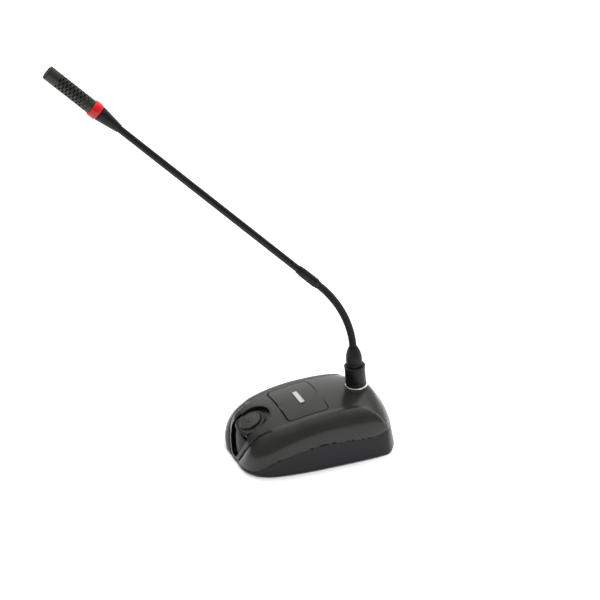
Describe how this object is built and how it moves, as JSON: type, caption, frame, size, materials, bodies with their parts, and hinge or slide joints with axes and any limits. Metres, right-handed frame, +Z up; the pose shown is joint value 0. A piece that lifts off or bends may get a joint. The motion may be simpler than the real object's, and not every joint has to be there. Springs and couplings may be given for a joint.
{
  "type": "gooseneck podium microphone",
  "caption": "Weighted desk base with a press-to-talk button, carrying a plug-in flexible gooseneck with a slotted head behind a red light ring.",
  "frame": {"origin": "on the table under the centre of the base; the feet stand on z = 0", "axes": "+Z up; -Y towards the speaker, out of the front face with the talk button; +X to the right of someone who looks along +Y at the front"},
  "size_m": [0.14, 0.278, 0.3559],
  "materials": {
    "gloss_black_plastic": "gloss black, moulded",
    "satin_black_plastic": "satin black, fine moulded grain",
    "fascia_black": "deep gloss black",
    "black_rubber": "matt",
    "zinc_plated_steel": "zinc plated",
    "bright_chrome": "bright",
    "green_board": "solder mask over glass fibre",
    "black_component": "moulded",
    "silver_badge": "satin silver, blank",
    "frosted_lens": "frosted",
    "satin_black_metal": "satin black paint",
    "dark_head_metal": "dark satin coating",
    "grey_insulator": "moulded",
    "plated_contact": "gold plated",
    "fine_screen": "blackened",
    "red_light_ring": "translucent red"
  },
  "bodies": {
    "base": {"badge": "silver_badge", "ballast_plate": "zinc_plated_steel", "board_capacitor": "zinc_plated_steel", "board_chip": "black_component", "case_screw_1": "zinc_plated_steel", "case_screw_2": "zinc_plated_steel", "case_screw_3": "zinc_plated_steel", "case_screw_4": "zinc_plated_steel", "control_board": "green_board", "control_board_screw_1": "zinc_plated_steel", "control_board_screw_2": "zinc_plated_steel", "control_plate": "gloss_black_plastic", "foot_1": "black_rubber", "foot_2": "black_rubber", "foot_3": "black_rubber", "foot_4": "black_rubber", "front_fascia": "fascia_black", "lower_housing": "satin_black_plastic", "main_board": "green_board", "main_board_screw_1": "zinc_plated_steel", "main_board_screw_2": "zinc_plated_steel", "name_panel": "gloss_black_plastic", "output_jack": "black_component", "output_jack_nut": "bright_chrome", "socket_core": "grey_insulator", "socket_nut": "zinc_plated_steel", "socket_ring": "bright_chrome", "talk_switch": "black_component", "top_shell": "gloss_black_plastic"},
    "talk_key": {"talk_button": "gloss_black_plastic", "talk_lens": "frosted_lens", "switch_plunger": "grey_insulator"},
    "gooseneck_plug": {"plug_collar": "satin_black_metal", "plug_insert": "grey_insulator", "plug_pin_1": "plated_contact", "plug_pin_2": "plated_contact", "plug_pin_3": "plated_contact", "boot": "black_rubber"},
    "neck_01": {"neck_link_01": "satin_black_metal"},
    "neck_02": {"neck_link_02": "satin_black_metal"},
    "neck_03": {"neck_link_03": "satin_black_metal"},
    "neck_04": {"neck_link_04": "satin_black_metal"},
    "neck_05": {"neck_link_05": "satin_black_metal"},
    "neck_06": {"neck_link_06": "satin_black_metal"},
    "neck_07": {"neck_link_07": "satin_black_metal"},
    "neck_08": {"neck_link_08": "satin_black_metal"},
    "neck_09": {"neck_link_09": "satin_black_metal"},
    "microphone": {"neck_link_10": "satin_black_metal", "coupling_sleeve": "satin_black_metal", "rigid_tube": "satin_black_metal", "tube_lead": "black_rubber", "head_cone": "satin_black_metal", "light_ring": "red_light_ring", "led_board": "green_board", "capsule_holder": "grey_insulator", "capsule": "zinc_plated_steel", "head_screen": "fine_screen", "head_tube": "dark_head_metal", "end_cap": "dark_head_metal"}
  },
  "joints": [
    {"name": "talk_press", "type": "slide", "parent": "base", "child": "talk_key", "axis": [0, -0.4226, 0.9063], "range_m": [-0.0012, 0], "stiffness_N_per_m": 900, "springref_m": 0.0004},
    {"name": "plug_release", "type": "slide", "parent": "base", "child": "gooseneck_plug", "axis": [0, -0.0924, 0.9957], "range_m": [0, 0.014]},
    {"name": "neck_bend_1", "type": "hinge", "parent": "gooseneck_plug", "child": "neck_01", "pos_m": [0, 0.04194, 0.09113], "axis": [0.9262, -0.3755, -0.0348], "range_deg": [-12, 8]},
    {"name": "neck_swing_1", "type": "hinge", "parent": "neck_01", "child": "neck_02", "pos_m": [-0.0001, 0.04105, 0.09807], "axis": [0.3746, 0.9057, 0.1983], "range_deg": [-9, 9]},
    {"name": "neck_bend_2", "type": "hinge", "parent": "neck_02", "child": "neck_03", "pos_m": [-0.0004, 0.03967, 0.10493], "axis": [0.9262, -0.3755, -0.0348], "range_deg": [-12, 8]},
    {"name": "neck_swing_2", "type": "hinge", "parent": "neck_03", "child": "neck_04", "pos_m": [-0.0009, 0.03782, 0.11166], "axis": [0.3638, 0.8655, 0.3444], "range_deg": [-9, 9]},
    {"name": "neck_bend_3", "type": "hinge", "parent": "neck_04", "child": "neck_05", "pos_m": [-0.00159, 0.0355, 0.11822], "axis": [0.9262, -0.3755, -0.0348], "range_deg": [-12, 8]},
    {"name": "neck_swing_3", "type": "hinge", "parent": "neck_05", "child": "neck_06", "pos_m": [-0.00248, 0.03272, 0.12459], "axis": [0.3446, 0.8053, 0.4825], "range_deg": [-9, 9]},
    {"name": "neck_bend_4", "type": "hinge", "parent": "neck_06", "child": "neck_07", "pos_m": [-0.00355, 0.02951, 0.13071], "axis": [0.9262, -0.3755, -0.0348], "range_deg": [-12, 8]},
    {"name": "neck_swing_4", "type": "hinge", "parent": "neck_07", "child": "neck_08", "pos_m": [-0.0048, 0.02588, 0.13656], "axis": [0.3174, 0.7265, 0.6095], "range_deg": [-9, 9]},
    {"name": "neck_bend_5", "type": "hinge", "parent": "neck_08", "child": "neck_09", "pos_m": [-0.00623, 0.02186, 0.1421], "axis": [0.9262, -0.3755, -0.0348], "range_deg": [-12, 8]},
    {"name": "neck_swing_5", "type": "hinge", "parent": "neck_09", "child": "microphone", "pos_m": [-0.00782, 0.01745, 0.14731], "axis": [0.2829, 0.6309, 0.7224], "range_deg": [-9, 9]}
  ],
  "couplings": [
    {"joint": "neck_bend_2", "follows": "neck_bend_1", "ratio": 1},
    {"joint": "neck_bend_3", "follows": "neck_bend_1", "ratio": 1},
    {"joint": "neck_bend_4", "follows": "neck_bend_1", "ratio": 1},
    {"joint": "neck_bend_5", "follows": "neck_bend_1", "ratio": 1},
    {"joint": "neck_swing_2", "follows": "neck_swing_1", "ratio": 1},
    {"joint": "neck_swing_3", "follows": "neck_swing_1", "ratio": 1},
    {"joint": "neck_swing_4", "follows": "neck_swing_1", "ratio": 1},
    {"joint": "neck_swing_5", "follows": "neck_swing_1", "ratio": 1}
  ]
}
